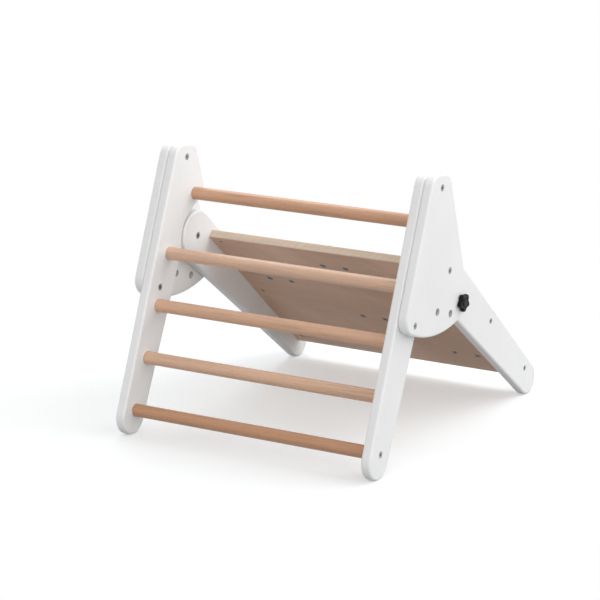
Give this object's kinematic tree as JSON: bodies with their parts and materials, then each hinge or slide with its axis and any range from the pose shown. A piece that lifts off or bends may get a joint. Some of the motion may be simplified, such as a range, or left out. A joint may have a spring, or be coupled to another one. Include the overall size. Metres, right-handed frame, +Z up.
{
  "type": "climbing triangle",
  "caption": "Folding wooden climbing triangle: ladder of round rungs between white rails, hinged to a sloping climbing board, with screw-in lock knobs.",
  "frame": {"origin": "on the floor, midway between the sides and midway from front to back", "axes": "+X along the rungs to the right seen from the ladder side, +Y from the ladder's feet to the rear feet, +Z up"},
  "size_m": [0.692, 0.7604, 0.5963],
  "materials": {
    "white_plate": "satin white paint on smooth board",
    "rung_wood": "lacquered round bar, long grain",
    "board_wood": "lacquered plywood",
    "hold_resin": "fine gritty cast resin",
    "black_plastic": "moulded",
    "washer_plastic": "smooth",
    "insert_brass": "turned",
    "zinc_steel": "zinc plated",
    "brass_steel": "yellow zinc plated, dulled"
  },
  "bodies": {
    "ladder": {"left_rail": "white_plate", "right_rail": "white_plate", "left_cheek_plate": "white_plate", "right_cheek_plate": "white_plate", "rung_1": "rung_wood", "rung_2": "rung_wood", "rung_3": "rung_wood", "rung_4": "rung_wood", "rung_5": "rung_wood", "left_rung_screw": "zinc_steel", "left_upper_cheek_bolt": "zinc_steel", "left_upper_sleeve_nut": "zinc_steel", "left_lower_cheek_bolt": "zinc_steel", "left_lower_sleeve_nut": "zinc_steel", "left_pivot_bolt": "zinc_steel", "left_pivot_sleeve": "zinc_steel", "left_pivot_washer": "washer_plastic", "right_rung_screw": "zinc_steel", "right_upper_cheek_bolt": "zinc_steel", "right_upper_sleeve_nut": "zinc_steel", "right_lower_cheek_bolt": "zinc_steel", "right_lower_sleeve_nut": "zinc_steel", "right_pivot_bolt": "zinc_steel", "right_pivot_sleeve": "zinc_steel", "right_pivot_washer": "washer_plastic"},
    "rear_frame": {"left_rear_leg": "white_plate", "right_rear_leg": "white_plate", "climbing_board": "board_wood", "left_board_bolt_1": "zinc_steel", "left_board_bolt_2": "zinc_steel", "left_board_bolt_3": "zinc_steel", "left_barrel_nut_1": "brass_steel", "left_barrel_nut_2": "brass_steel", "left_barrel_nut_3": "brass_steel", "left_lock_insert": "insert_brass", "right_board_bolt_1": "zinc_steel", "right_board_bolt_2": "zinc_steel", "right_board_bolt_3": "zinc_steel", "right_barrel_nut_1": "brass_steel", "right_barrel_nut_2": "brass_steel", "right_barrel_nut_3": "brass_steel", "right_lock_insert": "insert_brass", "hold_1": "hold_resin", "hold_2": "hold_resin", "hold_3": "hold_resin", "hold_4": "hold_resin", "hold_screw_1": "zinc_steel", "hold_screw_2": "zinc_steel", "hold_screw_3": "zinc_steel", "hold_screw_4": "zinc_steel", "hold_screw_5": "zinc_steel", "hold_screw_6": "zinc_steel", "hold_screw_7": "zinc_steel", "hold_screw_8": "zinc_steel"},
    "left_lock_stud": {"left_lock_stud": "zinc_steel"},
    "left_lock_knob": {"left_lock_knob": "black_plastic"},
    "right_lock_stud": {"right_lock_stud": "zinc_steel"},
    "right_lock_knob": {"right_lock_knob": "black_plastic"}
  },
  "joints": [
    {"name": "fold", "type": "hinge", "parent": "ladder", "child": "rear_frame", "pos_m": [0, -0.08287, 0.38404], "axis": [-1, 0, 0], "range_deg": [0, 65]},
    {"name": "left_stud_slide", "type": "slide", "parent": "ladder", "child": "left_lock_stud", "axis": [-1, 0, 0], "range_m": [0, 0.03]},
    {"name": "left_knob_spin", "type": "hinge", "parent": "left_lock_stud", "child": "left_lock_knob", "pos_m": [-0.334, -0.03268, 0.30527], "axis": [-1, 0, 0], "continuous": true},
    {"name": "right_stud_slide", "type": "slide", "parent": "ladder", "child": "right_lock_stud", "axis": [1, 0, 0], "range_m": [0, 0.03]},
    {"name": "right_knob_spin", "type": "hinge", "parent": "right_lock_stud", "child": "right_lock_knob", "pos_m": [0.334, -0.03268, 0.30527], "axis": [1, 0, 0], "continuous": true}
  ]
}
